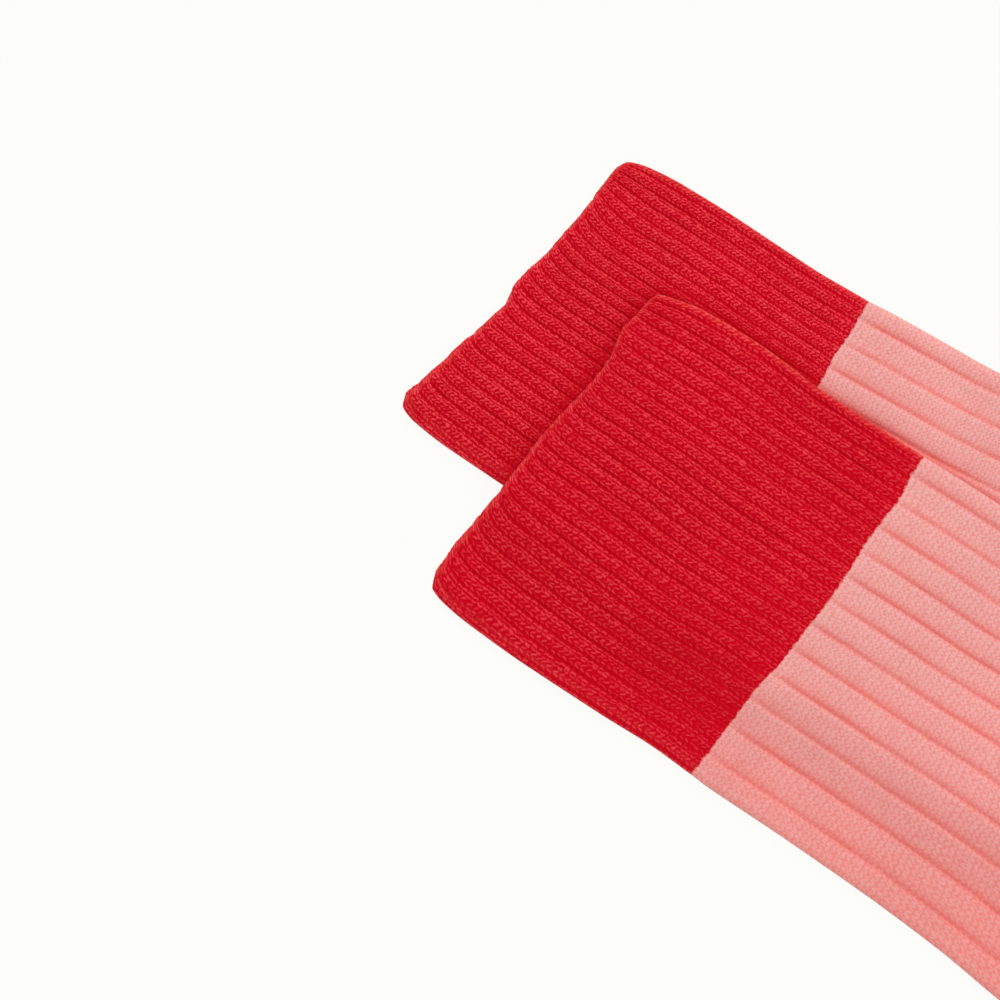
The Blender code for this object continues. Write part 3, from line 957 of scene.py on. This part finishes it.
def knit_strand_group():
    """One row of yarn strands along a repeat of the knit, each a little uneven. Height is 0 to 1."""
    tree = bpy.data.node_groups.new("knit_strand", "ShaderNodeTree")
    for name in ("Across", "Repeat", "Course", *map(socket_name, Strand._fields), "Unevenness"):
        new_socket(tree, name, "INPUT")
    new_socket(tree, "Height", "OUTPUT")
    given = tree.nodes.new("NodeGroupInput").outputs
    run = math(tree, "ADD", given["Course"], given["Start"])
    stitch = math(tree, "FLOOR", run)
    cell = {0: given["Repeat"], 1: stitch, 2: given["Centre"]}
    cell = add_node(tree, "ShaderNodeCombineXYZ", cell).outputs[0]
    draw = add_node(tree, "ShaderNodeTexWhiteNoise", {"Vector": cell}, noise_dimensions="3D")
    chance = add_node(tree, "ShaderNodeSeparateXYZ", {0: draw.outputs["Color"]}).outputs
    chance = [math(tree, "MULTIPLY", math(tree, "SUBTRACT", c, 0.5), given["Unevenness"]) for c in chance]
    run = math(tree, "SUBTRACT", math(tree, "SUBTRACT", run, stitch), 0.5)
    run = math(tree, "MULTIPLY_ADD", chance[0], STRAND_SLIP, run)
    square = math(tree, "MULTIPLY", math(tree, "MULTIPLY", run, run), 4.0)
    line = math(tree, "MULTIPLY_ADD", given["Lean"], run, given["Centre"])
    line = math(tree, "MULTIPLY_ADD", given["Turn"], square, line)
    line = math(tree, "MULTIPLY_ADD", chance[1], STRAND_STEP, line)
    width = math(tree, "MULTIPLY_ADD", chance[2], WIDTH_CHANCE, 1.0)
    width = math(tree, "MULTIPLY", given["Half Width"], width)
    off = math(tree, "DIVIDE", math(tree, "SUBTRACT", given["Across"], line), width)
    body = math(tree, "MAXIMUM", math(tree, "SUBTRACT", 1.0, math(tree, "MULTIPLY", off, off)), 0.0)
    end = math(tree, "POWER", math(tree, "ABSOLUTE", math(tree, "DIVIDE", run, given["Half Length"])), 4.0)
    end = math(tree, "MAXIMUM", math(tree, "SUBTRACT", 1.0, end), 0.0)
    loft = math(tree, "MULTIPLY_ADD", chance[0], LOFT_CHANCE, MEAN_LOFT)
    loft = math(tree, "MULTIPLY", given["Loft"], loft)
    height = math(tree, "MULTIPLY", math(tree, "MULTIPLY", body, end), loft)
    add_node(tree, "NodeGroupOutput", {"Height": height})
    return tree


def yarn_with_painted_light_group():
    """A yarn's colour from its strands' height, with painted shade in gaps and creases and painted highlight
    on crests, folds and lip, and slow unevenness.
    """
    tree = bpy.data.node_groups.new("yarn_with_painted_light", "ShaderNodeTree")
    for name in YARN_AND_LIGHT_TONES:
        new_socket(tree, name, "INPUT", "NodeSocketColor")
    for name in ("Height", "Crease Shade", "Highlight Amount", "Slow"):
        new_socket(tree, name, "INPUT")
    new_socket(tree, "Color", "OUTPUT", "NodeSocketColor")
    given = tree.nodes.new("NodeGroupInput").outputs
    colour = mix(tree, stretch(tree, given["Height"], *BODY_HEIGHTS), given["Gap"], given["Body"])
    colour = mix(tree, stretch(tree, given["Height"], *LIT_CREST_HEIGHTS), colour, given["Crest"])
    colour = mix(tree, given["Crease Shade"], colour, given["Crease"])
    colour = mix(tree, given["Highlight Amount"], colour, given["Rubbed"])
    bright = math(tree, "MULTIPLY_ADD", given["Slow"], 0.16, 0.92)
    colour = add_node(tree, "ShaderNodeHueSaturation", {"Value": bright, "Color": colour}).outputs[0]
    add_node(tree, "NodeGroupOutput", {"Color": colour})
    return tree


def strands_on(tree, wale, course, knit, strand_group):
    """The height of all the strands of a knit, laid over each other."""
    index = math(tree, "DIVIDE", math(tree, "SUBTRACT", wale, knit.repeat_start), knit.repeat)
    index = math(tree, "FLOOR", index)
    across = math(tree, "MULTIPLY_ADD", index, -knit.repeat, wale)
    shared = {"Across": across, "Repeat": index, "Course": course, "Unevenness": knit.unevenness}
    height = None
    for strand in knit.strands:
        own = {socket_name(field): value for field, value in strand._asdict().items()}
        inputs = {**shared, **own}
        one = add_node(tree, "ShaderNodeGroup", inputs, node_tree=strand_group).outputs[0]
        height = one if height is None else math(tree, "MAXIMUM", height, one)
    return height


def knit_material(name, knit, own, other, own_first, strand_group, yarn_group):
    """A knit of its own yarn. Past the change of yarn its stitches take the other yarn's colour."""
    material, tree, surface = new_material(name)
    chart = add_node(tree, "ShaderNodeUVMap", uv_map="stitches").outputs[0]
    stray = noise(tree, chart, scale=1.1, detail=2.0)["Color"]
    stray = vector_math(tree, "SUBTRACT", stray, (0.5, 0.5, 0.5))
    stray = vector_math(tree, "MULTIPLY", stray, (STRAY, STRAY, 0.0))
    chart = vector_math(tree, "ADD", chart, stray)
    places = add_node(tree, "ShaderNodeSeparateXYZ", {0: chart}).outputs
    # Painted shade: the creases between ribs, the shadow beside the sock on top, and shade deepened by place
    # on the front sock
    crease = add_node(tree, "ShaderNodeAttribute", attribute_name="crease").outputs["Fac"]
    # Painted highlight along the folds and round the lip
    highlight_mask = add_node(tree, "ShaderNodeAttribute", attribute_name="rubbed").outputs["Fac"]
    where = add_node(tree, "ShaderNodeTexCoord").outputs["Object"]
    slow = noise(tree, where, scale=45.0)[0]
    fibre = noise(tree, where, scale=1900.0)[0]
    height = strands_on(tree, places[0], places[1], knit, strand_group)
    height = math(tree, "ADD", height, math(tree, "MULTIPLY_ADD", fibre, knit.fuzz, -0.5 * knit.fuzz))
    # Painted shade in the creases, which the crests partly keep off
    crease_shade = math(tree, "MULTIPLY", crease, knit.crease_share)
    crease_shade = math(tree, "MULTIPLY", crease_shade, stretch(tree, height, *CREASE_SHADE_HEIGHTS, 1.0, 1.0 - knit.crest_keeps))
    # Painted highlight, stronger on the higher strands
    highlight_amount = math(tree, "MULTIPLY", highlight_mask, math(tree, "MULTIPLY_ADD", height, HIGHLIGHT_GROWTH, LEAST_HIGHLIGHT))
    # Each yarn's colour with painted shade in gaps and creases and a painted highlight on crests, folds and
    # lip
    colours = []
    for yarn in (own, other):
        inputs = {title: (*tone, 1.0) for title, tone in zip(YARN_AND_LIGHT_TONES, yarn)}
        inputs |= {"Height": height, "Crease Shade": crease_shade, "Highlight Amount": highlight_amount, "Slow": slow}
        colours.append(add_node(tree, "ShaderNodeGroup", inputs, node_tree=yarn_group).outputs[0])
    ragged = noise(tree, chart, scale=0.8, detail=2.0)[0]
    edge = math(tree, "ADD", places[1], math(tree, "MULTIPLY_ADD", ragged, 1.0, -0.5))
    past = stretch(tree, edge, -0.12, 0.12)
    if not own_first:
        past = math(tree, "SUBTRACT", 1.0, past)
    bump = add_node(tree, "ShaderNodeBump", {"Height": height, "Strength": knit.bump, "Distance": 0.25 * MM})
    looks = {
        "Base Color": mix(tree, past, colours[0], colours[1]),
        "Roughness": stretch(tree, height, 0.0, 1.0, 0.92, 0.78),
        "Normal": bump.outputs[0],
        "Specular IOR Level": 0.04,
        "Sheen Weight": 0.06,
        "Sheen Roughness": 0.5,
        "Sheen Tint": (*own.sheen, 1.0),
    }
    fill(tree, surface, looks)
    return material


def pale_floor():
    """A pale surface that gives off some light itself, as a light table does, so that shadows stay faint."""
    mesh = bmesh.new()
    bmesh.ops.create_grid(mesh, x_segments=8, y_segments=8, size=6.0)
    bmesh.ops.translate(mesh, verts=mesh.verts, vec=(0, 0, -0.02 * MM))
    data = bpy.data.meshes.new("floor")
    mesh.to_mesh(data)
    mesh.free()
    material, tree, surface = new_material("pale_table")
    where = add_node(tree, "ShaderNodeTexCoord").outputs["Object"]
    grain = noise(tree, where, scale=60.0)[0]
    looks = {
        "Base Color": mix(tree, grain, (0.039, 0.039, 0.038, 1.0), (0.041, 0.041, 0.040, 1.0)),
        "Roughness": 0.9,
        "Specular IOR Level": 0.0,
        "Emission Color": (1.0, 1.0, 0.975, 1.0),
        "Emission Strength": 0.937,
    }
    fill(tree, surface, looks)
    data.materials.append(material)
    placed("floor", data)


def soft_light():
    """A near soft box past the top of the view, and even light from all round."""
    data = bpy.data.lights.new("soft_box", "AREA")
    data.shape = "SQUARE"
    data.size = KEY_SIZE
    data.energy = KEY_POWER
    box = placed("soft_box", data)
    aim = np.array((*VIEW_CENTRE, 0.0)) * MM * KEY_AIM
    rise = radians(KEY_RISE)
    turn = radians(VIEW_TURN)
    towards = np.array((-sin(turn) * cos(rise), cos(turn) * cos(rise), sin(rise)))
    box.location = aim + KEY_DISTANCE * towards
    box.rotation_euler = (pi / 2 - rise, 0.0, turn + pi)
    box.visible_camera = False
    world = bpy.data.worlds.new("studio")
    bpy.context.scene.world = world
    world.use_nodes = True
    tree = world.node_tree
    seen = add_node(tree, "ShaderNodeLightPath").outputs["Is Camera Ray"]
    strength = stretch(tree, seen, 0.0, 1.0, SKY, BACKDROP)
    background = tree.nodes["Background"]
    background.inputs["Color"].default_value = (1.0, 1.0, 0.985, 1.0)
    tree.links.new(strength, background.inputs["Strength"])


def overhead_camera():
    """Straight above the photograph's middle, with the picture turned as the photograph is."""
    data = bpy.data.cameras.new("camera")
    data.sensor_width = SENSOR
    data.lens = SENSOR * CAMERA_HEIGHT / VIEW_WIDTH
    data.clip_end = 20.0
    camera = placed("camera", data)
    camera.location = (VIEW_CENTRE[0] * MM, VIEW_CENTRE[1] * MM, (CAMERA_HEIGHT + 2 * FOLD_RADIUS) * MM)
    camera.rotation_euler = (0.0, 0.0, radians(VIEW_TURN))
    bpy.context.scene.camera = camera
    bpy.context.scene.view_settings.view_transform = "Standard"


def dress_pair():
    """Both socks on the floor. Each piece stands for the node that it is listed under."""
    groups = (knit_strand_group(), yarn_with_painted_light_group())
    red = knit_material("red_knit", CUFF_KNIT, RED_YARN, PINK_YARN, True, *groups)
    pink = knit_material("pink_knit", LEG_KNIT, PINK_YARN, RED_YARN, False, *groups)
    back, front = laid_sections(BACK_SOCK), laid_sections(FRONT_SOCK)
    pale_floor()
    pieces = {}
    for sock, (cuff, leg), below, above in (
        (BACK_SOCK, back, None, outline(*front)),
        (FRONT_SOCK, front, outline(*back), None),
    ):
        cuff_laid = Laid(below, above, sock.cuff_tone, sock.lean)
        leg_laid = Laid(below, above, sock.leg_tone, None)
        pieces[f"{sock.name}_cuff"] = build_cuff(sock, cuff, cuff_laid, red)
        pieces[f"{sock.name}_leg"] = build_leg(sock, leg, leg_laid, pink)
    for node, piece in pieces.items():
        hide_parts(node)
    return pieces


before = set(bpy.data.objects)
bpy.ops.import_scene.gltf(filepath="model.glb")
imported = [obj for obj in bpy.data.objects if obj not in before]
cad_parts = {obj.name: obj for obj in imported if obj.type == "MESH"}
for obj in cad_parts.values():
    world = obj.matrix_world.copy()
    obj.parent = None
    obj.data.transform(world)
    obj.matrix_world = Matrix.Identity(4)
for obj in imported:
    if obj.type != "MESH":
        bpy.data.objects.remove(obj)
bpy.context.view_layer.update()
pieces = dress_pair()
soft_light()
overhead_camera()
